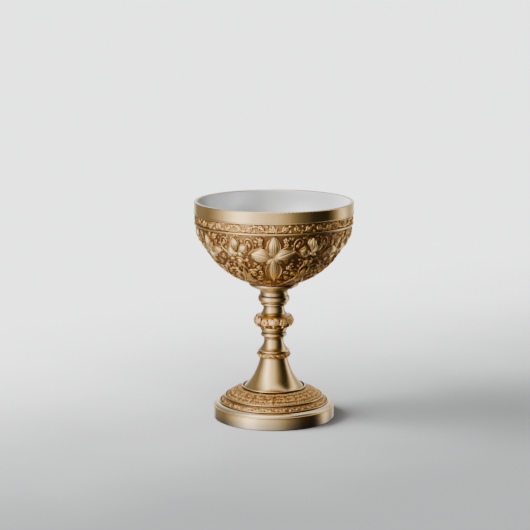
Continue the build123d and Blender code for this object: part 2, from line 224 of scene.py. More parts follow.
class Relief:
    """A turned surface on a grid: a row for each point of its profile, a column for each step around."""

    def __init__(self, radii, heights, columns):
        self.radii = np.asarray(radii, float)
        self.heights = np.asarray(heights, float)
        self.columns = columns
        steps = np.hypot(np.diff(self.radii), np.diff(self.heights))
        self.along = np.concatenate([[0.0], np.cumsum(steps)])
        slope_r = np.gradient(self.radii, self.along)
        slope_z = np.gradient(self.heights, self.along)
        # Rows run from the top down, so this normal points outwards
        self.normals = np.stack([-slope_z, slope_r], axis=1)
        self.normals /= np.linalg.norm(self.normals, axis=1)[:, None]
        self.angles = FRONT + np.arange(columns) * TURN / columns
        self.cosines, self.sines = np.cos(self.angles), np.sin(self.angles)
        self.rise = np.zeros((len(self.radii), columns))

    def radius_at(self, along):
        return np.interp(along, self.along, self.radii)

    def along_at(self, height):
        """How far down the profile a height lies."""
        return np.interp(-height, -self.heights, self.along)

    def fade(self, values, low, high):
        """Flattens the rows whose value is at or below low, and leaves those at or above high."""
        self.rise *= soft_step(values, low, high)[:, None]

    def section(self, along):
        """The radius and height at a distance down the profile, and the outward normal's two parts."""
        values = (self.radii, self.heights, self.normals[:, 0], self.normals[:, 1])
        return [np.interp(along, self.along, v) for v in values]

    def place(self, angle, along):
        """The point, and the directions right and up, at an angle and a distance down the profile."""
        radius, height, out_r, out_z = self.section(along)
        c, s = math.cos(angle), math.sin(angle)
        right = np.array([-s, c, 0.0])
        return turned(radius, height, c, s), right, np.cross(turned(out_r, out_z, c, s), right)

    def window(self, angle, along, reach):
        """The grid rows and columns within reach of a place, and their points."""
        radius = max(self.radius_at(along) - 0.5 * reach, 0.3 * reach)
        rows = np.nonzero(np.abs(self.along - along) <= reach)[0]
        half = min(int(reach / radius / TURN * self.columns) + 2, self.columns // 2 - 1)
        middle = int(round((angle - FRONT) / TURN * self.columns))
        cols = np.arange(middle - half, middle + half + 1) % self.columns
        i, j = np.ix_(rows, cols)
        return i, j, turned(self.radii[i], self.heights[i], self.cosines[j], self.sines[j])

    def stamp(self, angle, along, turn, reach, form):
        """Raises the surface to form(x, y), with x and y in mm from a place, and y turned by turn degrees
        from straight up towards the left."""
        i, j, points = self.window(angle, along, reach)
        centre, right, up = self.place(angle, along)
        away = points - centre
        x, y = away @ right, away @ up
        c, s = math.cos(math.radians(turn)), math.sin(math.radians(turn))
        raised = form(x * c + y * s, -x * s + y * c)
        self.rise[i, j] = np.maximum(self.rise[i, j], raised)

    def vine(self, spots, start_width, end_width, tall):
        """A round stem along (angle, along) spots, that tapers from one width to the other."""
        path = np.array([self.place(a, b)[0] for a, b in spots])
        width = np.linspace(start_width, end_width, len(path)) / 2
        mid_angle, mid_along = spots[len(spots) // 2]
        reach = np.abs(path - path[len(path) // 2]).max() * 1.5 + start_width
        i, j, points = self.window(mid_angle, mid_along, reach)
        best = np.zeros(points.shape[:2])
        for p, w in zip(path, width):
            near = 1.0 - ((points - p) ** 2).sum(axis=-1) / (w * w)
            np.maximum(best, np.sqrt(np.clip(near, 0.0, 1.0)) * (0.35 + 0.65 * w / width.max()), out=best)
        self.rise[i, j] = np.maximum(self.rise[i, j], tall * best)

    def points(self):
        """Every grid point, raised."""
        r = self.radii[:, None] + self.normals[:, :1] * self.rise
        z = self.heights[:, None] + self.normals[:, 1:] * self.rise
        return turned(r, z, self.cosines, self.sines)

    def hollows(self, reach):
        """How far each point lies below the average of what is within reach of it, in mm."""
        step = self.along[-1] / (len(self.along) - 1)
        n = max(1, int(round(reach / step)))
        smooth = self.rise
        for _ in range(2):
            padded = np.pad(smooth, ((n, n), (0, 0)), mode="edge")
            total = np.cumsum(np.pad(padded, ((1, 0), (0, 0))), axis=0)
            smooth = (total[2 * n + 1:] - total[:-2 * n - 1]) / (2 * n + 1)
            padded = np.concatenate([smooth[:, -n:], smooth, smooth[:, :n]], axis=1)
            total = np.cumsum(np.pad(padded, ((0, 0), (1, 0))), axis=1)
            smooth = (total[:, 2 * n + 1:] - total[:, :-2 * n - 1]) / (2 * n + 1)
        return smooth - self.rise


def turned(r, z, cosines, sines):
    """Points at radii r and heights z, at the angles with those cosines and sines."""
    return np.stack(np.broadcast_arrays(r * cosines, r * sines, z), axis=-1)


def soft_step(x, low, high):
    t = np.clip((x - low) / (high - low), 0.0, 1.0)
    return t * t * (3.0 - 2.0 * t)


def leaf(length, width, tall, veins=3, lobes=0, bend=0.0):
    """A pointed leaf from the origin along y, with a midrib, side veins and, if asked, a lobed edge."""

    def form(x, y):
        t = np.clip(y / length, 0.0, 1.0)
        x = x - bend * length * t * t
        half = 0.5 * width * np.sin(math.pi * t**0.8) ** 0.75
        if lobes:
            half = half * (1.0 - 0.30 * np.abs(np.cos(math.pi * lobes * t)) ** 2)
        inside = half - np.abs(x)
        side = np.clip(np.abs(x) / np.maximum(half, 1e-6), 0.0, 1.0)
        edge = soft_step(inside, -0.05, 0.45) * soft_step(y, -0.1, 0.5) * soft_step(length - y, 0.0, 0.5)
        crown = 0.62 + 0.38 * np.sin(math.pi * np.clip(side * 0.85 + 0.08, 0, 1))
        groove = 0.30 * np.exp(-((x / 0.32) ** 2)) * soft_step(t, 0.02, 0.12)
        vein = 0.09 * np.cos(TURN * (veins * t - 1.3 * side)) * side
        swell = 0.55 + 0.45 * np.sin(math.pi * t**0.7)
        return tall * edge * (crown - groove + vein) * swell

    return form


def berry(radius, tall):
    """A round bead."""
    return lambda x, y: tall * np.sqrt(np.clip(1.0 - (x * x + y * y) / radius**2, 0.0, 1.0))


def ring(radius, width, tall):
    """A round loop of the given wire width."""
    def form(x, y):
        off = (np.hypot(x, y) - radius) / (0.5 * width)
        return tall * np.sqrt(np.clip(1.0 - off * off, 0.0, 1.0))
    return form


def rosette(radius, tall):
    """A small round flower: five rounded petals about an eye."""
    eye = 0.28 * radius
    def form(x, y):
        far = np.hypot(x, y)
        around = np.arctan2(x, y)
        scallop = np.abs(np.cos(2.5 * around)) ** 0.45
        reach = radius * (0.70 + 0.30 * scallop)
        edge = soft_step(reach - far, -0.05, 0.40)
        cup = 0.50 + 0.50 * np.sin(math.pi * np.clip(far / reach, 0, 1) ** 1.3) * scallop
        crease = 1.0 - 0.35 * (1 - scallop)
        dome = np.sqrt(np.clip(1.0 - (far / eye) ** 2, 0.0, 1.0))
        return tall * np.maximum(edge * cup * crease, (0.65 + 0.45 * dome) * (dome > 0))
    return form


def curve_through(points, count):
    """A smooth line through given points (Catmull-Rom)."""
    p = np.asarray(points, float)
    p = np.vstack([2 * p[0] - p[1], p, 2 * p[-1] - p[-2]])
    spans = len(p) - 3
    t = np.linspace(0, spans, count)
    k = np.minimum(t.astype(int), spans - 1)
    f = (t - k)[:, None]
    a, b, c, d = p[k], p[k + 1], p[k + 2], p[k + 3]
    return 0.5 * (2 * b + (c - a) * f + (2 * a - 5 * b + 4 * c - d) * f**2 + (3 * b - a - 3 * c + d) * f**3)


def spiral(x, y, radius, turns, start, hand, tighten=0.16):
    """Points of a scroll that begins on a circle about (x, y), at start degrees, and winds in."""
    t = np.linspace(0.0, 1.0, int(26 * turns) + 6)
    r = radius * (1 - t) ** 0.85 + radius * tighten * t
    a = math.radians(start) + hand * TURN * turns * t
    return np.stack([x + r * np.cos(a), y + r * np.sin(a)], axis=1)


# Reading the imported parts

def first_hits(node, starts, direction):
    """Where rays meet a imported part, in mm. A ray that misses gets a place between its neighbours'."""
    part = frame["nodes"][node]
    hits = [part.ray_cast(Vector(start), Vector(direction)) for start in starts]
    good = [n for n, hit in enumerate(hits) if hit[0]]
    spots = np.array([hits[n][1] for n in good]) / MM
    return np.stack([np.interp(np.arange(len(hits)), good, axis) for axis in spots.T], axis=1)


def side_of(node, heights, inside=False):
    """Radii, in mm, of a turned part's outer or inner side at the given heights."""
    starts = [(0.0 if inside else 0.2, 0.0, z * MM) for z in heights]
    spots = first_hits(node, starts, (1.0 if inside else -1.0, 0.0, 0.0))
    return np.hypot(spots[:, 0], spots[:, 1])


def top_of(node, radii, below=False):
    """Heights, in mm, of a turned part's upper or lower side at the given radii."""
    starts = [(r * MM, 0.0, -0.05 if below else 0.3) for r in radii]
    return first_hits(node, starts, (0.0, 0.0, 1.0 if below else -1.0))[:, 2]


def box_mm(node):
    low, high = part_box(node)
    return np.array(low) / MM, np.array(high) / MM


# Meshes

def mesh_object(name, points, faces, hollows, ribs=None):
    """An object from points in mm and faces. Each point has a hollow value and, on a petal, a rib value."""
    mesh = bpy.data.meshes.new(name)
    points = np.asarray(points, np.float32).reshape(-1, 3) * MM
    mesh.from_pydata(points.tolist(), [], faces)
    for label, values in (("hollow", hollows), ("rib", ribs)):
        if values is not None:
            layer = mesh.attributes.new(label, "FLOAT", "POINT")
            layer.data.foreach_set("value", np.asarray(values, np.float32).ravel())
    mesh.polygons.foreach_set("use_smooth", [True] * len(mesh.polygons))
    mesh.validate()
    piece = bpy.data.objects.new(name, mesh)
    scene.collection.objects.link(piece)
    return piece


def band_faces(rows, columns):
    """Quads of a grid that is closed around, and from its last row to its first."""
    faces = []
    for i in range(rows):
        a, b = i * columns, (i + 1) % rows * columns
        for j in range(columns):
            k = (j + 1) % columns
            faces.append((a + j, b + j, b + k, a + k))
    return faces


def ring_object(name, relief, back, hollows):
    """A closed ring: a relief in front, and plain (radius, height) rows behind it, from the bottom up."""
    r, z = np.array(back).T[:, :, None]
    rear = turned(r, z, relief.cosines, relief.sines)
    points = np.concatenate([relief.points(), rear])
    values = np.concatenate([hollows, np.full(rear.shape[:2], 0.3)])
    return mesh_object(name, points, band_faces(len(points), relief.columns), values)


# Petals and leaves that stand proud of a relief

def petal_grid(relief, angle, along, turn, length, width, tall, fullness=0.5, bend=0.0, rim=False, curl=0.0,
               lobes=0, step=0.24):
    """Points, hollow values and rib values of one petal: rows from base to tip, each from the ground on its
    left, over the top, to the ground on its right."""
    rows = max(14, int(length / step))
    across = max(12, int(width / step)) // 2 * 2 + 1
    u, v = np.meshgrid(np.linspace(0.0, 1.0, rows), np.linspace(-1.0, 1.0, across), indexing="ij")
    power = math.log(0.5) / math.log(fullness)
    half = 0.5 * width * np.sin(math.pi * np.clip(u, 0.004, 0.996) ** power)
    if lobes:
        half = half * (1.0 - 0.22 * np.abs(np.cos(math.pi * lobes * u)) ** 3)
    side = np.abs(v)
    narrow = np.clip(half / (0.5 * width), 0.15, 1.0)
    swell = 0.50 + 0.50 * np.sin(math.pi * u**0.8)
    edge = 1.0 - 0.30 * soft_step(side, 0.95, 1.0)
    if rim:
        # A flat petal with a raised edge
        body = 0.50 + 0.50 * soft_step(side, 0.80, 0.90)
        ribs = groove = np.zeros_like(u)
    else:
        # A keel down the middle, ribs beside it, and a fine lip round the edge
        body = 0.48 + 0.52 * np.clip(1 - side**2.2, 0, 1) ** 0.8
        body = body + 0.10 * soft_step(side, 0.82, 0.90) * (1 - soft_step(side, 0.95, 1.0))
        keel = 0.13 * np.exp(-((side / 0.06) ** 2)) * soft_step(u, 0.05, 0.25)
        groove = 0.09 * np.exp(-(((side - 0.16) / 0.07) ** 2)) * soft_step(u, 0.03, 0.2)
        ribs = 0.035 * np.cos(TURN * 4.5 * side + 1.2 * np.sin(math.pi * u))
        ribs = ribs * soft_step(side, 0.2, 0.4) + keel
    height = tall * swell * (body * (0.72 + 0.28 * narrow) + ribs - groove) * edge + curl * u**3
    x = bend * length * u * u + v * half
    y = length * u
    # Colour values: the grooves hold tarnish, the keel and ribs are lighter, which is a painted highlight,
    # and the base of the petal is darker, which is painted shade
    hollow = (0.80 if rim else 0.30) * soft_step(0.9 - body, 0.0, 0.45) + 1.8 * groove - 1.8 * ribs
    hollow = hollow + 0.50 * soft_step(0.28 - u, 0.0, 0.28) + 0.22 * soft_step(side, 0.93, 1.0)
    # Skirts down into the ground
    sunk = 0.5
    x, y = (np.pad(grid, ((0, 0), (1, 1)), mode="edge") for grid in (x, y))
    height = np.pad(height, ((0, 0), (1, 1)), constant_values=-sunk)
    hollow = np.pad(hollow, ((0, 0), (1, 1)), constant_values=0.9)
    rib = np.pad(0.0 * side if rim else side, ((0, 0), (1, 1)), constant_values=0.0)
    return on_relief(relief, angle, along, turn, x, y, height), hollow, rib


def on_relief(relief, angle, along, turn, x, y, height):
    """Points at flat (x, y) places round a spot on a relief's ground, turned to the left and raised."""
    c, s = math.cos(math.radians(turn)), math.sin(math.radians(turn))
    right, up = x * c - y * s, x * s + y * c
    below = along - up
    # Past either end of the profile the surface goes on straight
    clamped = np.clip(below, relief.along[0], relief.along[-1])
    radius, level, out_r, out_z = relief.section(clamped)
    rest = below - clamped
    radius = radius + rest * out_z
    level = level - rest * out_r
    around = angle + right / np.maximum(radius, 5.0)
    return turned(radius + out_r * height, level + out_z * height, np.cos(around), np.sin(around))


def skin_faces(rows, width, first):
    """A closed skin over rows of points: quads all round each pair of rows, and the two ends."""
    faces = []
    for i in range(rows - 1):
        a, b = first + i * width, first + (i + 1) * width
        for j in range(width):
            k = (j + 1) % width
            faces.append((a + j, a + k, b + k, b + j))
    last = first + (rows - 1) * width
    faces.append(tuple(range(first + width - 1, first - 1, -1)))
    faces.append(tuple(range(last, last + width)))
    return faces


def dome_grid(relief, angle, along, x, y, radius, tall):
    """A round boss on a relief, as rings of points from the ground to the top."""
    sunk = 0.4
    arc = np.linspace(0.0, 1.45, 8)
    share = radius * np.concatenate([[1.0], np.cos(arc)])[:, None]
    lift = np.concatenate([[-sunk], tall * np.sin(arc)])[:, None]
    t = np.arange(24) * TURN / 24
    spots = on_relief(relief, angle, along, 0.0, x + share * np.cos(t), y + share * np.sin(t), lift)
    hollow = np.where(lift < 0.3 * tall, 0.8, 0.0) + 0.0 * t
    return spots, hollow, 0.0 * hollow


class Casting:
    """One cast piece, gathered from petals and domes on a relief's ground."""

    def __init__(self, relief, angle, along):
        self.relief, self.angle, self.along = relief, angle, along
        self.points, self.hollows, self.ribs, self.faces = [], [], [], []
        self.count = 0

    def petal(self, turn, length, width, tall, **shape):
        self.add(*petal_grid(self.relief, self.angle, self.along, turn, length, width, tall, **shape))

    def dome(self, x, y, radius, tall):
        self.add(*dome_grid(self.relief, self.angle, self.along, x, y, radius, tall))

    def add(self, points, hollow, rib):
        self.faces += skin_faces(*hollow.shape, self.count)
        self.points.append(points.reshape(-1, 3))
        self.hollows.append(hollow.ravel())
        self.ribs.append(rib.ravel())
        self.count += hollow.size

    def build(self, name, tarnish=0.0):
        points, hollows, ribs = (np.concatenate(a) for a in (self.points, self.hollows, self.ribs))
        return mesh_object(name, points, self.faces, hollows + tarnish, ribs)


# The bowl

LARGE_BELOW, MIDDLE_BELOW, SMALL_BELOW = math.radians(29.0), math.radians(25.5), math.radians(25.0)


def bowl_relief():
    """The calyx as a plain sphere below the bead, down to the hole for the cup's boss."""
    high = box_mm("calyx_shell")[1]
    cup_low, cup_high = box_mm("cup_liner")
    centre = cup_low[2] + cup_high[0]
    shell = math.hypot(high[0], centre - high[2])
    hole = box_mm("cup_boss")[1][0] + 0.1
    first = math.asin((centre - high[2]) / shell)
    last = math.acos(hole / shell)
    below = np.linspace(first, last, int(shell * (last - first) / ROW_STEP))
    relief = Relief(shell * np.cos(below), centre - shell * np.sin(below), BOWL_COLUMNS)
    relief.centre, relief.shell, relief.first = centre, shell, first
    return relief


class Sector:
    """Ornament laid out in mm to the right of and above one blossom, with a little unevenness.
    Left and right are exchanged if side is -1."""

    def __init__(self, relief, angle, along, rng, side=1):
        self.relief, self.angle, self.along, self.rng, self.side = relief, angle, along, rng, side

    def spot(self, x, y):
        along = self.along - y
        return self.angle + x / self.relief.radius_at(along), along

    def put(self, x, y, turn, reach, form):
        x = self.side * x + self.rng.normal(0, 0.22)
        y = y + self.rng.normal(0, 0.22)
        turn = self.side * turn + self.rng.normal(0, 3.0)
        self.relief.stamp(*self.spot(x, y), turn, reach, form)

    def leaf(self, x, y, turn, length, width, tall, bend=0.0, **shape):
        self.put(x, y, turn, length + 1.0, leaf(length, width, tall, bend=self.side * bend, **shape))

    def berry(self, x, y, radius, tall):
        self.put(x, y, 0.0, radius + 0.5, berry(radius, tall))

    def vine(self, points, start_width, end_width, tall):
        spots = [self.spot(self.side * x, y) for x, y in points]
        self.relief.vine(spots, start_width, end_width, tall)


def fan(sector, y, tall, leaves, **shape):
    """Leaves (turn, length, width) that spread from one point. All but the first are in pairs."""
    for n, (turn, length, width) in enumerate(leaves):
        for side in (1, -1) if n else (1,):
            sector.leaf(0.0, y, side * turn, length, width, tall, **shape)


def bowl_sector(relief, angle, along, rng, half):
    """The chased ground round one large blossom, out to the small blossoms at its sides."""
    for side in (1, -1):
        art = Sector(relief, angle, along, rng, side)
        # Above the side petal: a round flower on a stem, a leaf, and a scroll with beads along its back
        art.vine(curve_through([(10.4, 16.0), (9.3, 12.6), (11.0, 9.4), (14.6, 7.4)], 40), 1.3, 0.9, 0.9)
        art.put(10.4, 16.2, 0.0, 4.0, rosette(2.7, 1.5))
        art.leaf(8.3, 9.2, -38, 6.2, 3.4, 1.3)
        art.vine(curve_through(
            [(20.6, 3.0), (17.2, 7.2), (16.6, 12.0), (18.9, 16.2), (22.4, 17.0), (24.2, 14.4), (22.6, 12.1),
             (20.7, 13.2)], 110), 1.3, 0.8, 0.8)
        art.berry(21.4, 13.9, 1.0, 0.8)
        for x, y in ((14.7, 11.4), (24.9, 17.4), (13.6, 17.8)):
            art.berry(x, y, 0.85, 0.8)
        art.leaf(18.8, 9.2, -20, 4.6, 2.8, 1.1)
        art.leaf(25.2, 12.0, -150, 5.2, 2.6, 1.0)
        # Below the side petal: a round flower with a leaf, a ring, and the big scroll
        art.put(11.9, -11.0, 0.0, 4.0, rosette(2.6, 1.5))
        art.leaf(13.0, -13.0, -118, 5.0, 2.8, 1.1, bend=-0.2)
        art.leaf(12.8, -7.9, -60, 4.6, 2.4, 1.0)
        art.put(9.9, -16.9, 0.0, 3.5, ring(1.7, 1.1, 1.0))
        art.berry(9.9, -16.9, 0.7, 0.9)
        stem = curve_through(
            [(2.2, -46.5), (4.2, -41.5), (8.0, -36.0), (12.5, -31.0), (17.2, -25.6), (20.0, -19.6),
             (21.0, -13.6), (24.2, -9.4)], 150)
        art.vine(stem, 1.9, 1.3, 1.4)
        art.vine(spiral(16.2, -19.6, 3.4, 1.35, -20, 1), 1.5, 0.8, 1.2)
        art.berry(16.2, -19.6, 1.0, 1.2)
        art.vine(spiral(11.4, -25.2, 3.2, 1.4, -70, -1), 1.4, 0.8, 1.1)
        art.berry(11.4, -25.2, 0.95, 1.1)
        art.vine(spiral(7.0, -33.0, 2.7, 1.3, -60, -1), 1.3, 0.8, 1.0)
        for leaf_shape in ((18.4, -24.0, -112, 7.0, 3.6, 1.3), (13.6, -29.8, -120, 7.4, 3.6, 1.3),
                           (9.0, -34.8, -128, 6.6, 3.2, 1.2)):
            art.leaf(*leaf_shape, veins=4, lobes=3)
        art.leaf(5.2, -40.0, -136, 5.2, 2.6, 1.0)
        art.leaf(20.4, -15.4, 58, 5.6, 2.9, 1.2, bend=-0.2)
        art.leaf(3.4, -29.4, -166, 6.4, 3.4, 1.3, veins=4)
        art.leaf(2.6, -37.4, -160, 5.2, 2.6, 1.0)
        # Under the small blossom: sprays that meet on the line between two sectors
        art.leaf(22.8, -11.6, -28, 6.0, 3.0, 1.2)
        art.leaf(20.0, -2.2, -96, 5.4, 2.8, 1.1, bend=0.2)
        art.leaf(19.4, -7.6, -150, 4.6, 2.4, 1.0)
        for x, y in ((15.9, -9.4), (8.4, -21.8)):
            art.berry(x, y, 0.8, 0.8)
    # Between the sectors: a bud in a curl, and a palmette below it
    edge = Sector(relief, angle + half, along, rng)
    edge.vine(spiral(0.0, -5.2, 4.4, 1.15, 118, -1, 0.5), 1.4, 0.9, 1.3)
    edge.berry(0.3, -5.0, 2.7, 1.9)
    fan(edge, -23.5, 1.35, ((0, 11.0, 4.6), (38, 7.6, 3.4), (76, 5.2, 2.8)), veins=5)
    edge.berry(0.0, -24.2, 1.5, 1.5)
    fan(edge, -26.4, 1.2, ((180, 9.0, 3.2), (146, 6.4, 3.2)), veins=4)


def middle_spray(relief, angle, along, rng):
    """The ground under a middle blossom: a leafy stem with a round flower and two curls."""
    middle = Sector(relief, angle, along, rng)
    middle.vine(curve_through([(0.6, -34.0), (-0.8, -27.0), (0.6, -20.0), (0.0, -13.0)], 60), 1.5, 1.0, 1.2)
    middle.put(0.0, -15.4, 0.0, 4.2, rosette(2.8, 1.5))
    for side in (1, -1):
        art = Sector(relief, angle, along, rng, side)
        art.leaf(0.6, -21.5, -48, 8.0, 3.8, 1.3, veins=4, bend=-0.15)
        art.leaf(0.2, -27.5, -56, 7.0, 3.4, 1.2, veins=4, bend=-0.15)
        art.vine(spiral(6.2, -14.6, 2.4, 1.3, 200, -1), 1.2, 0.7, 1.1)
        art.leaf(7.6, 6.6, -28, 6.4, 3.0, 1.1)


def quiet_ground(relief, angle, along, reach):
    """Lowers the ground within reach of a casting, so that the casting stands clear of it."""
    i, j, points = relief.window(angle, along, reach + 3.0)
    away = np.linalg.norm(points - relief.place(angle, along)[0], axis=-1)
    relief.rise[i, j] *= 0.40 + 0.60 * soft_step(away, reach, reach + 3.0)


def fill_ground(relief, rng, top, bottom, kinds):
    """Small scrolls, leaves and beads wherever the ground is still bare: (size, height, kind, tries)."""
    widest = relief.radii.max()
    for size, tall, kind, tries in kinds:
        for _ in range(tries):
            along = rng.uniform(top + size, bottom - size)
            angle = rng.uniform(-math.pi, math.pi)
            turn = rng.uniform(0, 360)
            if rng.uniform() > relief.radius_at(along) / widest:
                continue
            i, j, points = relief.window(angle, along, size)
            off = points - relief.place(angle, along)[0]
            close = (off ** 2).sum(axis=-1) < (size * 0.92) ** 2
            if (relief.rise[i, j][close] > 0.12).any():
                continue
            place = Sector(relief, angle, along, rng)
            if kind == "scroll":
                hand = 1 if turn < 180 else -1
                place.vine(spiral(0, 0, size * 0.8, 1.3, turn, hand), size * 0.42, size * 0.26, tall)
                place.berry(0, 0, size * 0.28, tall)
            elif kind == "leaf":
                c, s = math.cos(math.radians(turn)), math.sin(math.radians(turn))
                bend = rng.uniform(-0.28, 0.28)
                x, y = s * size * 0.95, -c * size * 0.95
                place.leaf(x, y, turn, size * 1.95, size * 1.15, tall, bend=bend)
            else:
                place.berry(0, 0, size * 0.85, tall)


def calyx():
    """The chased calyx, with its plain inner side."""
    relief = bowl_relief()
    rng = np.random.default_rng(5)
    along = relief.shell * (LARGE_BELOW - relief.first)
    half = math.pi / 6
    for k in range(6):
        bowl_sector(relief, FRONT + 2 * half * k, along, rng, half)
        if k % 2:
            middle_spray(relief, FRONT + 2 * half * k, along, rng)
    # Slim upright leaves where the bowl runs into the collar
    collar = box_mm("bowl_collar")[1][0]
    foot_along = np.interp(-collar, -relief.radii, relief.along)
    for k in range(30):
        spot = Sector(relief, FRONT + TURN * k / 30, foot_along, rng)
        spot.leaf(0.0, 0.4, 0.0, 6.0, 3.4, 0.9)
    bead_low = box_mm("bowl_bead")[0][2]
    top_along = relief.along_at(bead_low)
    fill_ground(relief, rng, top_along - 1.2, foot_along - 0.5,
                [(3.9, 0.85, "leaf", 900), (2.9, 0.85, "scroll", 600), (2.9, 0.75, "leaf", 1400),
                 (2.1, 0.65, "leaf", 1800), (1.5, 0.50, "leaf", 900), (0.9, 0.40, "berry", 120)])
    for k in range(6):
        angle = FRONT + 2 * half * k
        if k % 2:
            quiet_ground(relief, angle, relief.shell * (MIDDLE_BELOW - relief.first), 11.5)
        else:
            quiet_ground(relief, angle, along, 14.0)
        quiet_ground(relief, angle + half, relief.shell * (SMALL_BELOW - relief.first) - 3.0, 8.0)
    # The relief gets lower towards the collar, and ends above it and under the bead
    relief.rise *= 0.76
    relief.fade(relief.along, top_along - 0.1, top_along + 0.5)
    relief.rise *= (0.30 + 0.70 * soft_step(relief.radii, collar, 2.2 * collar))[:, None]
    relief.fade(relief.radii, collar - 1.0, collar + 1.5)
    # Hand work leaves the ground a little uneven
    wave = np.sin(9 * relief.angles)[None, :] * np.sin(relief.along / 4.1)[:, None]
    finer = np.sin(23 * relief.angles + 1.0)[None, :] * np.sin(relief.along / 2.3 + 0.5)[:, None]
    wave = wave + 0.7 * finer
    relief.rise += 0.035 * wave * soft_step(relief.radii, collar, collar + 3.0)[:, None]
    hollows = np.clip(hollow_values(relief, bare=0.62) + 0.14, 0.0, 1.3)
    inner = side_of("calyx_shell", [relief.centre - 0.5 * relief.shell], inside=True)[0] / math.sqrt(0.75)
    below = np.linspace(math.acos(relief.radii[-1] / inner), relief.first, 14)
    back = [(inner * math.cos(b), relief.centre - inner * math.sin(b)) for b in below]
    piece = ring_object("calyx_chased", relief, back, hollows)
    return piece, relief


def hollow_values(relief, fine=0.7, broad=2.6, ground=0.45, bare=0.50):
    """From 0 on the high points to about 1 in the deepest ground."""
    near = relief.hollows(fine)
    wide = relief.hollows(broad)
    flat = soft_step(ground - relief.rise, 0.0, ground)
    deep = bare * flat + 0.85 * np.clip(near, -0.3, 0.6) + 0.55 * np.clip(wide, -0.6, 0.8)
    return np.clip(deep, 0.0, 1.3)


def large_blossom(relief, number):
    """A four-petalled lily in two layers, as tall as the calyx, at every third of the bowl."""
    angle = FRONT + TURN / 3 * (number - 1)
    cast = Casting(relief, angle, relief.shell * (LARGE_BELOW - relief.first))
    # Flat back petals, seen as an outline round the front ones
    cast.petal(0, 21.4, 11.8, 1.3, rim=True)
    cast.petal(180, 28.4, 13.6, 1.3, fullness=0.46, curl=0.7, rim=True)
    cast.petal(65, 19.0, 9.6, 1.3, fullness=0.54, rim=True)
    cast.petal(-58, 19.4, 8.6, 1.3, fullness=0.54, rim=True)
    for turn, length in ((38, 8.6), (-38, 8.6), (134, 8.8), (-134, 8.8)):
        cast.petal(turn, length, 3.8, 1.5, fullness=0.45)
    # Front petals
    cast.petal(0, 20.4, 8.4, 2.3, fullness=0.50, curl=0.4)
    cast.petal(180, 27.2, 7.2, 2.4, fullness=0.42, curl=1.4)
    cast.petal(74, 18.8, 12.8, 2.4, fullness=0.56, bend=-0.05, curl=0.5)
    cast.petal(-67, 19.2, 10.0, 2.4, fullness=0.50, bend=0.02, curl=0.5)
    cast.dome(0.0, 0.0, 0.8, 1.7)
    return cast.build(f"large_blossom_relief_{number}")


def middle_blossom(relief, number):
    """A lily of half that height, with level side petals and broad sepals, between two large ones."""
    angle = FRONT + TURN / 3 * (number - 0.5)
    cast = Casting(relief, angle, relief.shell * (MIDDLE_BELOW - relief.first))
    for turn, length, width in ((0, 13.2, 6.2), (180, 13.2, 6.6), (88, 16.4, 7.4), (-88, 16.4, 7.4)):
        cast.petal(turn, length, width, 1.1, rim=True)
    for turn, length in ((42, 9.4), (-42, 9.4), (136, 8.6), (-136, 8.6)):
        cast.petal(turn, length, 4.4, 1.5, fullness=0.48, curl=0.3)
    for turn, length, width in ((0, 12.4, 4.8), (180, 12.4, 5.2), (88, 15.4, 6.4), (-88, 15.4, 6.4)):
        cast.petal(turn, length, width, 2.5, fullness=0.52, curl=0.7)
    cast.dome(0.0, 0.0, 0.8, 1.7)
    return cast.build(f"middle_blossom_relief_{number}")


def small_blossom(relief, number):
    """A flower that opens upwards: a tall petal, a round one at its left and a slim one at its right."""
    angle = FRONT + math.pi / 3 * (number - 0.5)
    cast = Casting(relief, angle, relief.shell * (SMALL_BELOW - relief.first))
    cast.petal(2, 14.6, 8.2, 1.3, fullness=0.62, rim=True)
    cast.petal(80, 11.0, 10.0, 1.3, fullness=0.58, rim=True)
    cast.petal(-56, 12.4, 7.2, 1.3, fullness=0.60, rim=True)
    for turn in (128, -120):
        cast.petal(turn, 7.0, 3.6, 1.7, fullness=0.45)
    cast.petal(80, 10.0, 7.6, 2.3, fullness=0.60, curl=0.6)
    cast.petal(-56, 11.4, 5.4, 2.3, fullness=0.60, curl=0.8)
    cast.petal(2, 13.6, 6.4, 2.7, fullness=0.64, curl=0.9)
    cast.dome(0.0, -0.6, 1.2, 2.0)
    return cast.build(f"small_blossom_relief_{number}")


# The frieze, the foot, the main knop and the garland ring

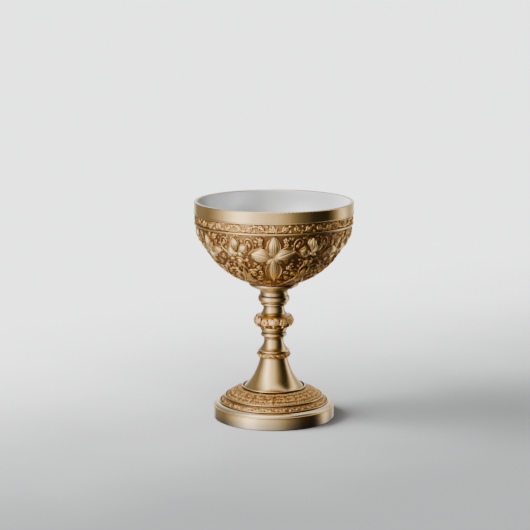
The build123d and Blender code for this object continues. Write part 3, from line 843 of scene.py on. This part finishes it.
def frieze():
    """The band of running scrolls under the lip, with a palmette above each large blossom."""
    low, high = box_mm("frieze_band")
    rows = int((high[2] - low[2]) / 0.25)
    relief = Relief(np.full(rows, high[0]), np.linspace(high[2], low[2], rows), 1320)
    rng = np.random.default_rng(11)
    middle = relief.along[-1] / 2
    pitch = TURN * high[0] / 42
    for k in range(6):
        palmette = Sector(relief, FRONT + math.pi / 3 * k, middle, rng)
        fan(palmette, -2.5, 0.85, ((0, 5.8, 2.7), (42, 5.2, 2.4), (84, 4.4, 2.2)))
        palmette.berry(0.0, -2.4, 1.0, 1.0)
        run = Sector(relief, FRONT + math.pi / 3 * (k + 0.5), middle, rng)
        steps = np.linspace(-3.1 * pitch, 3.1 * pitch, 160)
        run.vine([(x, 2.1 * math.cos(math.pi * x / pitch)) for x in steps], 1.25, 1.25, 0.8)
        for n in range(-2, 4):
            x = (n - 0.5) * pitch
            up = 1 if n % 2 else -1
            run.vine(spiral(x, 0.1 * up, 2.5, 1.15, 90 * up, up, 0.45), 1.15, 0.8, 0.8)
            run.put(x, 0.1 * up, 0.0, 2.2, rosette(1.5, 0.95))
            run.leaf(x + 0.50 * pitch, -0.6 * up, 90 + 58 * up, 4.0, 2.3, 0.8)
            run.leaf(x + 0.40 * pitch, 1.0 * up, 90 - 120 * up, 3.0, 1.8, 0.75, veins=2)
            run.leaf(x - 0.30 * pitch, 0.6 * up, -90 + 40 * up, 3.2, 1.8, 0.75, veins=2)
            run.berry(x - 0.42 * pitch, 2.3 * up, 0.6, 0.6)
    edge = np.minimum(relief.along, relief.along[-1] - relief.along)
    relief.fade(edge, 0.0, 0.4)
    back = side_of("frieze_band", [(low[2] + high[2]) / 2], inside=True)[0]
    rear = [(back, low[2]), (back, high[2])]
    return ring_object("frieze_chased", relief, rear, hollow_values(relief, 0.5, 1.8, 0.3))


def foot():
    """The chased dome of the foot: a wide zone of scrolls in strapwork panels, and a narrow outer zone."""
    high = box_mm("foot_dome")[1]
    wires = [f"foot_wire_{place}" for place in ("inner", "middle", "outer")]
    inner_wire, middle_wire, outer_wire = (box_mm(wire)[1][0] for wire in wires)
    seat = side_of("foot_dome", [high[2] - 0.5], inside=True)[0]
    radii = np.linspace(seat + 0.05, high[0] - 0.02, 90)
    relief = Relief(radii, top_of("foot_dome", radii), 960)
    rng = np.random.default_rng(23)
    top = np.interp(inner_wire, relief.radii, relief.along)
    split = np.interp(middle_wire - 0.5, relief.radii, relief.along)
    end = np.interp(outer_wire - 1.0, relief.radii, relief.along)
    foot_panels(relief, rng, top, split)
    foot_edge(relief, rng, split, end, (middle_wire + outer_wire) / 2)
    fill_ground(relief, rng, top + 0.6, split - 0.6,
                [(1.5, 0.50, "leaf", 900), (1.0, 0.45, "leaf", 2600), (0.5, 0.35, "berry", 900)])
    fill_ground(relief, rng, split + 0.8, end - 0.2, [(0.5, 0.35, "berry", 500)])
    for line in (top - 0.3, split, end + 0.4):
        relief.fade(np.abs(relief.along - line), 0.5, 0.9)
    relief.fade(relief.along, top - 0.2, top + 0.3)
    relief.fade(end + 0.3 - relief.along, 0.0, 0.5)
    rear_radii = np.linspace(high[0] - 0.8, seat + 0.05, 40)
    rear = list(zip(rear_radii, top_of("foot_dome", rear_radii, below=True)))
    return ring_object("foot_dome_chased", relief, rear, hollow_values(relief, 0.6, 2.0, 0.35, bare=0.60))


def foot_panels(relief, rng, top, split):
    """Scrolls all round, with upright buds and a faint slanting strap in each of twelve stretches."""
    zone = split - top
    for k in range(12):
        angle = FRONT + math.pi / 6 * k
        turn = math.radians(11.0)
        strap = [(angle + turn * t, split - 0.8 - (zone - 4.0) * t) for t in np.linspace(0.0, 1.0, 60)]
        relief.vine(strap, 0.8, 0.8, 0.45)
        for shift, size in ((-3.0, 0.78), (14.5, 0.70)):
            bud = Sector(relief, angle + math.radians(shift), split, rng)
            bud.leaf(0.0, zone * 0.30, 0, 7.6 * size, 3.4 * size, 0.8)
            bud.leaf(0.4, zone * 0.32, 44, 5.0 * size, 2.2 * size, 0.8)
            bud.leaf(-0.4, zone * 0.32, -44, 5.0 * size, 2.2 * size, 0.8)
            bud.berry(0.0, zone * 0.30 - 1.2, 0.7, 0.8)
        for n in range(8):
            for level, hand in ((0.18, 1), (0.40, -1), (0.63, 1), (0.86, -1)):
                spot = Sector(relief, angle + math.radians(3.75 * n + 0.9 * (hand + 1)), split, rng)
                if n % 4 == 0 and 0.3 < level < 0.7:
                    continue
                spot.vine(spiral(0.0, zone * level, 1.2, 1.2, 60.0 * n, hand), 0.65, 0.45, 0.62)
                spot.berry(0.0, zone * level, 0.4, 0.65)


def foot_edge(relief, rng, split, end, radius):
    """A wave of small scrolls and flowers in the narrow outer zone."""
    span = math.pi / 6 * radius
    for k in range(12):
        outer = Sector(relief, FRONT + math.pi / 6 * k, (split + end) / 2 + 0.55, rng)
        steps = np.linspace(-0.5 * span, 0.5 * span, 90)
        outer.vine([(x, 0.95 * math.sin(4 * math.pi * x / span)) for x in steps], 0.9, 0.9, 0.7)
        for n in range(4):
            x = (n / 4 - 0.375) * span
            up = 1 if n % 2 else -1
            outer.put(x, 0.35 * up, 0.0, 1.8, rosette(1.25, 0.85))
            outer.leaf(x + span / 8, 0.9 * up, 90 - 30 * up, 2.0, 1.2, 0.6, veins=2)


def knop_ground():
    """The core of the main knop, with small leaves in its ground, and its plain bore round the tie rod."""
    low = box_mm("leaf_knop_core")[0]
    top = box_mm("upper_neck")[0][2]
    heights = np.linspace(top - 0.02, low[2] + 0.02, 46)
    relief = Relief(side_of("leaf_knop_core", heights), heights, 480)
    rng = np.random.default_rng(41)
    for k in range(24):
        spot = Sector(relief, FRONT + math.pi / 12 * k, relief.along[-1], rng)
        spot.leaf(0.0, 0.4, 0, 3.6, 2.6, 0.5, veins=2)
    kinds = [(1.2, 0.45, "leaf", 500), (0.7, 0.4, "berry", 300)]
    fill_ground(relief, rng, 1.0, relief.along[-1] - 2.0, kinds)
    edge = np.minimum(relief.along, relief.along[-1] - relief.along)
    relief.fade(edge, 0.1, 0.6)
    bore = side_of("leaf_knop_core", [(low[2] + top) / 2 + 1.0], inside=True)[0]
    rear = [(bore, low[2] + 0.02), (bore, top - 0.02)]
    # The core's ground is darkened all over: painted shade
    hollows = 0.30 + hollow_values(relief, 0.5, 1.5, 0.3) * soft_step(relief.along, 1.2, 3.6)[:, None]
    piece = ring_object("leaf_knop_chased", relief, rear, hollows)
    relief.rise[:] = 0.0
    return piece, relief


def knop_leaf(relief, number):
    """One acanthus leaf that hangs over the knop, with its tip curled outwards."""
    cast = Casting(relief, FRONT + math.pi / 3 * (number - 1), 0.7)
    tip_height = 80.2
    reach = relief.along_at(tip_height) - 0.7
    cast.petal(180, reach, 10.4, 0.9, fullness=0.62, lobes=3, curl=0.9, step=0.18)
    for side in (1, -1):
        cast.petal(side * 152, reach * 0.84, 4.8, 1.4, fullness=0.60, bend=side * 0.18, curl=0.8, step=0.18)
    cast.petal(180, reach * 1.04, 5.4, 1.7, fullness=0.60, curl=0.9, step=0.18)
    cast.dome(0.0, -reach * 1.02, 1.1, 2.2)
    return cast.build(f"knop_leaf_relief_{number}", tarnish=0.30)


def knop_flower(relief, number):
    """One small flower between two leaves, with a leaf above it and a bud below."""
    low, high = box_mm("knop_flower_1")
    along = relief.along_at((low[2] + high[2]) / 2)
    cast = Casting(relief, FRONT + math.pi / 3 * (number - 0.5), along)
    cast.petal(0, 4.4, 4.0, 0.8, fullness=0.45, step=0.18)
    for k in range(5):
        cast.petal(36 + 72 * k, 3.5, 3.2, 1.35, fullness=0.60, curl=0.3, step=0.16)
    cast.dome(0.0, 0.0, 0.95, 1.8)
    cast.dome(0.0, -3.7, 1.0, 1.5)
    return cast.build(f"knop_flower_relief_{number}", tarnish=0.25)


def garland():
    """The ring on the flared stem: slanting leaves like a rope, over a row of beads."""
    low = box_mm("garland_ring")[0]
    top = box_mm("lower_collar")[0][2]
    heights = np.linspace(top - 0.02, low[2] + 0.02, 34)
    relief = Relief(side_of("garland_ring", heights), heights, 480)
    rng = np.random.default_rng(31)
    length = relief.along[-1]
    count = 20
    for k in range(count):
        spot = Sector(relief, FRONT + TURN * k / count, 0.58 * length, rng)
        spot.leaf(1.4, -0.7, 62, 4.0, 2.0, 0.65)
        spot.leaf(-0.2, -0.9, -60, 2.6, 1.5, 0.55, veins=2)
    for k in range(2 * count):
        spot = Sector(relief, FRONT + math.pi * k / count, 0.86 * length, rng)
        spot.berry(0.0, 0.0, 0.75, 0.6)
    relief.fade(relief.along, 0.6, 1.4)
    relief.fade(length - relief.along, 0.1, 0.5)
    bore = side_of("garland_ring", [(low[2] + top) / 2 + 0.5], inside=True)[0]
    rear = [(bore, low[2] + 0.02), (bore, top - 0.02)]
    return ring_object("garland_chased", relief, rear, hollow_values(relief, 0.5, 1.5, 0.3))


# Materials

GOLD = (0.87, 0.615, 0.300)
GOLD_WORN = (0.76, 0.53, 0.27)
PATINA_AND_SHADE = (0.44, 0.37, 0.275)
GRIME_AND_SHADE = (0.10, 0.062, 0.038)


def nearby(tree, distance):
    """How open the surface is, from 0 in a closed corner to 1."""
    return node(tree, "AmbientOcclusion", {"Distance": distance}, samples=8).outputs["AO"]


def metal_shader(tree, colour, metallic, roughness, height, strength, distance):
    """The shader of a metal, with fine marks raised by height."""
    bump = node(tree, "Bump", {"Height": height, "Strength": strength, "Distance": distance})
    inputs = {"Base Color": colour, "Metallic": metallic, "Roughness": roughness, "Normal": bump.outputs[0]}
    node(tree, "OutputMaterial", {"Surface": node(tree, "BsdfPrincipled", inputs).outputs[0]})


def turned_metal(name, colour, worn, patina_and_shade, grime, roughness, lines=1.0, metallic=1.0, shaded_side_colour=None):
    """Metal finished on a lathe: fine lines round the axis, hand polish, grime and painted shade in the
    corners, and tarnish with painted shade in its recesses. Its left side can have a darker colour, which
    is painted shade."""
    mat, tree = new_material(name)
    place = node(tree, "TexCoord").outputs["Object"]
    split = node(tree, "SeparateXYZ", {0: place}).outputs
    flat = node(tree, "CombineXYZ", {"X": split["X"], "Y": split["Y"]}).outputs[0]
    radius = node(tree, "VectorMath", {0: flat}, operation="LENGTH").outputs["Value"]
    around = sum_of(tree, "ARCTAN2", split["Y"], split["X"])
    profile = node(
        tree, "CombineXYZ", {"X": radius, "Y": times(tree, around, 0.0012), "Z": split["Z"]}
    ).outputs[0]
    turning = noise(tree, profile, 1700.0, 3.0)
    patches = noise(tree, place, 34.0, 4.0)
    smudges = noise(tree, place, 70.0, 5.0, 1.2)
    specks = noise(tree, place, 900.0, 2.0)
    stretch = {"Vector": place, "Rotation": (0.5, 0.4, 0.9), "Scale": (900.0, 40.0, 40.0)}
    scratches = noise(tree, node(tree, "Mapping", stretch).outputs[0], 1.0, 2.0)
    # Corners where other surfaces close in turn dark: grime and painted shade
    corner = nearby(tree, 0.0030)
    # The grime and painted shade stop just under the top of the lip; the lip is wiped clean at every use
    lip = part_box("lip_band")[1][2]
    below_lip_top = spread(tree, split["Z"], lip - 0.0012, lip - 0.0030)
    dirt_and_shade = times(tree, spread(tree, corner, 0.80, 0.42), below_lip_top)
    # Browner where other surfaces close over it: tarnish and painted shade
    shade = nearby(tree, 0.012)
    tone = blend(tree, spread(tree, patches, 0.35, 0.70), colour, worn)
    tone = blend(tree, times(tree, spread(tree, shade, 0.97, 0.60), below_lip_top), tone, patina_and_shade)
    # A darker colour on one side of the cup: painted shade
    if shaded_side_colour:
        side = times(tree, patches, 0.03, split["X"])
        tone = blend(tree, spread(tree, side, 0.050, -0.060), tone, shaded_side_colour)
    tone = blend(tree, spread(tree, specks, 0.70, 0.78, 0.0, 0.45), tone, grime)
    tone = blend(tree, times(tree, dirt_and_shade, 0.90), tone, grime)
    gloss = times(tree, smudges, 0.16, roughness - 0.08)
    gloss = times(tree, turning, 0.08, gloss)
    gloss = times(tree, dirt_and_shade, 0.25, gloss)
    marks = times(tree, spread(tree, scratches, 0.60, 0.72), 0.35, turning)
    metal_shader(tree, tone, metallic, gloss, marks, 0.5 * lines, 0.00003)
    return mat


def chased_metal(name, bright, middle, deep, rough_high, rough_low):
    """Gilt relief: burnished where it is high, and brown with old polish and grime where it lies deep. It
    turns dull brown where other surfaces close in over it: painted shade.
    """
    mat, tree = new_material(name)
    place = node(tree, "TexCoord").outputs["Object"]
    hollow = node(tree, "Attribute", attribute_name="hollow").outputs["Fac"]
    rib = node(tree, "Attribute", attribute_name="rib").outputs["Fac"]
    grime = noise(tree, place, 260.0, 4.0)
    cloud = noise(tree, place, 30.0, 3.0)
    depth = times(tree, grime, 0.40, hollow)
    depth = times(tree, cloud, 0.40, depth)
    depth = sum_of(tree, "SUBTRACT", depth, 0.40)
    shade = nearby(tree, 0.008)
    upper = blend(tree, spread(tree, depth, 0.02, 0.50), bright, middle)
    # Dull brown where other surfaces close in over the relief: painted shade
    upper = blend(tree, spread(tree, shade, 0.75, 0.25), upper, (0.34, 0.25, 0.16))
    tone = blend(tree, spread(tree, depth, 0.45, 1.05), upper, deep)
    gloss = spread(tree, depth, 0.0, 1.0, rough_high, rough_low)
    punches = node(tree, "TexVoronoi", {"Vector": place, "Scale": 1500.0}).outputs["Distance"]
    matt = times(tree, punches, spread(tree, hollow, 0.35, 0.80))
    ribs = sum_of(tree, "SINE", times(tree, rib, TURN * 9.0))
    tool_marks = noise(tree, place, 700.0, 2.0)
    height = times(tree, ribs, 0.30, times(tree, tool_marks, 0.45, matt))
    metal_shader(tree, tone, 1.0, gloss, height, 0.55, 0.00009)
    return mat


finishes = {
    "gilt_polished": turned_metal("gilt_polished", GOLD, GOLD_WORN, PATINA_AND_SHADE, GRIME_AND_SHADE, 0.17),
    "gilt_chased": chased_metal(
        "gilt_chased", (0.87, 0.56, 0.245), (0.59, 0.35, 0.155), (0.23, 0.11, 0.057), 0.31, 0.48
    ),
    "gilt_casting": chased_metal(
        "gilt_casting", (1.0, 0.72, 0.37), (0.97, 0.63, 0.30), (0.20, 0.105, 0.055), 0.24, 0.42
    ),
    "cup_silver": turned_metal(
        "cup_silver", (0.98, 0.985, 0.99), (0.93, 0.935, 0.94), (0.95, 0.95, 0.95), (0.40, 0.36, 0.30),
        0.30, lines=0.6, metallic=0.80, shaded_side_colour=(0.32, 0.32, 0.325)
    ),
    "raw_brass": turned_metal(
        "raw_brass", (0.62, 0.46, 0.24), (0.48, 0.33, 0.16), (0.40, 0.30, 0.18), (0.10, 0.06, 0.03),
        0.38, lines=1.6
    ),
    "steel_hardware": turned_metal(
        "steel_hardware", (0.58, 0.59, 0.60), (0.50, 0.50, 0.50), (0.40, 0.40, 0.39), (0.16, 0.14, 0.12),
        0.30, lines=1.6
    ),
}
# The step round the foot gets a paler gold: a painted highlight
painted_highlight_gilt = turned_metal(
    "gilt_painted_highlight", (0.96, 0.78, 0.53), (0.92, 0.71, 0.45), (0.62, 0.53, 0.40), GRIME_AND_SHADE, 0.25
)
slots = {part["node"]: part["material_slot"] for part in frame["record"]["subparts"]}
for name, part in frame["nodes"].items():
    part.data.materials.clear()
    part.data.materials.append(painted_highlight_gilt if name == "foot_shoulder" else finishes[slots[name]])


def finish_piece(piece, *replaced):
    """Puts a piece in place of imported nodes, with the finish of the first of them."""
    slot = slots[replaced[0]]
    piece.data.materials.append(finishes[slot])
    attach(piece, "root")
    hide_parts(*replaced)


calyx_piece, bowl = calyx()
knop_piece, knop = knop_ground()
finish_piece(calyx_piece, "calyx_shell")
finish_piece(knop_piece, "leaf_knop_core")
finish_piece(frieze(), "frieze_band")
finish_piece(foot(), "foot_dome")
finish_piece(garland(), "garland_ring")
for number in range(1, 4):
    finish_piece(large_blossom(bowl, number), f"large_blossom_{number}")
    finish_piece(middle_blossom(bowl, number), f"middle_blossom_{number}")
for number in range(1, 7):
    finish_piece(small_blossom(bowl, number), f"small_blossom_{number}")
    finish_piece(knop_leaf(knop, number), f"knop_leaf_{number}")
    finish_piece(knop_flower(knop, number), f"knop_flower_{number}")

scene.view_settings.view_transform = "AgX"
scene.view_settings.look = "AgX - Medium High Contrast"
